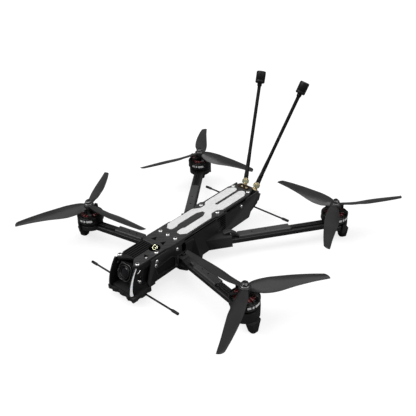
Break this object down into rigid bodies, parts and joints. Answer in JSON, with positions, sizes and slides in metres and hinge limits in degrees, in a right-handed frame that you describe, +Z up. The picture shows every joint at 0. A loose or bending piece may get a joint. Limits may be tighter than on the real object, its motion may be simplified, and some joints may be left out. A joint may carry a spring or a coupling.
{
  "type": "racing drone",
  "caption": "Long-body racing quadcopter with tri-blade propellers, tilting nose camera, carbon frame, soft feet and tall rear antennas.",
  "frame": {"origin": "on the ground under the drone, midway between the four motor axes", "axes": "+Z up, -Y towards the nose and camera, +X towards the drone's left side"},
  "size_m": [0.3767, 0.3738, 0.1877],
  "materials": {
    "carbon": "woven carbon fibre, satin",
    "carbon_arm": "woven carbon fibre, matt",
    "cover_plastic": "moulded plastic, satin",
    "tpu": "printed flexible plastic, matt",
    "shell_plastic": "fine-textured moulded plastic",
    "cage_metal": "black anodised, satin",
    "motor_black": "black anodised, satin",
    "winding": "dark red enamelled wire",
    "prop_plastic": "moulded, dark grey, satin",
    "nut_black": "black anodised",
    "screw_steel": "plain steel",
    "standoff_black": "black anodised",
    "pad_rubber": "light grey, fine dimpled grain",
    "light_white": "milky diffuser",
    "gold": "gold plated",
    "plug_plastic": "dark brown-red, moulded",
    "antenna_black": "black, satin",
    "braid": "braided sleeve",
    "camera_black": "black anodised",
    "lens_glass": "black barrel with coated glass",
    "heat_sink": "black anodised aluminium",
    "circuit_board": "solder-masked board"
  },
  "bodies": {
    "airframe": {"antenna_head_left": "antenna_black", "antenna_head_right": "antenna_black", "antenna_stem_left": "antenna_black", "antenna_stem_right": "antenna_black", "arm_cover_front_left": "cover_plastic", "arm_cover_front_right": "cover_plastic", "arm_cover_rear_left": "cover_plastic", "arm_cover_rear_right": "cover_plastic", "arm_front_left": "carbon_arm", "arm_front_right": "carbon_arm", "arm_rear_left": "carbon_arm", "arm_rear_right": "carbon_arm", "battery_pad": "pad_rubber", "belly_pod": "shell_plastic", "bottom_plate": "carbon", "cage_plate_left": "cage_metal", "cage_plate_right": "cage_metal", "flight_stack": "circuit_board", "foot_front_left": "tpu", "foot_front_right": "tpu", "foot_rear_left": "tpu", "foot_rear_right": "tpu", "frame_screws": "screw_steel", "front_antenna": "antenna_black", "front_bumper": "tpu", "front_socket": "gold", "light_strips": "light_white", "mid_plate": "carbon", "motor_base_front_left": "motor_black", "motor_base_front_right": "motor_black", "motor_base_rear_left": "motor_black", "motor_base_rear_right": "motor_black", "motor_screws": "screw_steel", "motor_wires": "braid", "power_pins": "gold", "power_plug": "plug_plastic", "rear_antenna": "antenna_black", "side_cover_left": "shell_plastic", "side_cover_right": "shell_plastic", "sma_connectors": "gold", "standoffs": "standoff_black", "stators": "winding", "tail_mount": "tpu", "top_plate": "carbon", "video_transmitter": "heat_sink"},
    "camera": {"camera_body": "camera_black", "lens": "lens_glass", "camera_screws": "screw_steel"},
    "rotor_front_left": {"bell_front_left": "motor_black", "propeller_front_left": "prop_plastic", "prop_nut_front_left": "nut_black"},
    "rotor_front_right": {"bell_front_right": "motor_black", "propeller_front_right": "prop_plastic", "prop_nut_front_right": "nut_black"},
    "rotor_rear_left": {"bell_rear_left": "motor_black", "propeller_rear_left": "prop_plastic", "prop_nut_rear_left": "nut_black"},
    "rotor_rear_right": {"bell_rear_right": "motor_black", "propeller_rear_right": "prop_plastic", "prop_nut_rear_right": "nut_black"}
  },
  "joints": [
    {"name": "front_left_spin", "type": "hinge", "parent": "airframe", "child": "rotor_front_left", "pos_m": [0.1294, -0.1028, 0.045], "axis": [0, 0, 1], "continuous": true},
    {"name": "front_right_spin", "type": "hinge", "parent": "airframe", "child": "rotor_front_right", "pos_m": [-0.1294, -0.1028, 0.045], "axis": [0, 0, 1], "continuous": true},
    {"name": "rear_left_spin", "type": "hinge", "parent": "airframe", "child": "rotor_rear_left", "pos_m": [0.1181, 0.1028, 0.045], "axis": [0, 0, 1], "continuous": true},
    {"name": "rear_right_spin", "type": "hinge", "parent": "airframe", "child": "rotor_rear_right", "pos_m": [-0.1181, 0.1028, 0.045], "axis": [0, 0, 1], "continuous": true},
    {"name": "camera_tilt", "type": "hinge", "parent": "airframe", "child": "camera", "pos_m": [0, -0.1506, 0.035], "axis": [-1, 0, 0], "range_deg": [-25, 20]}
  ]
}
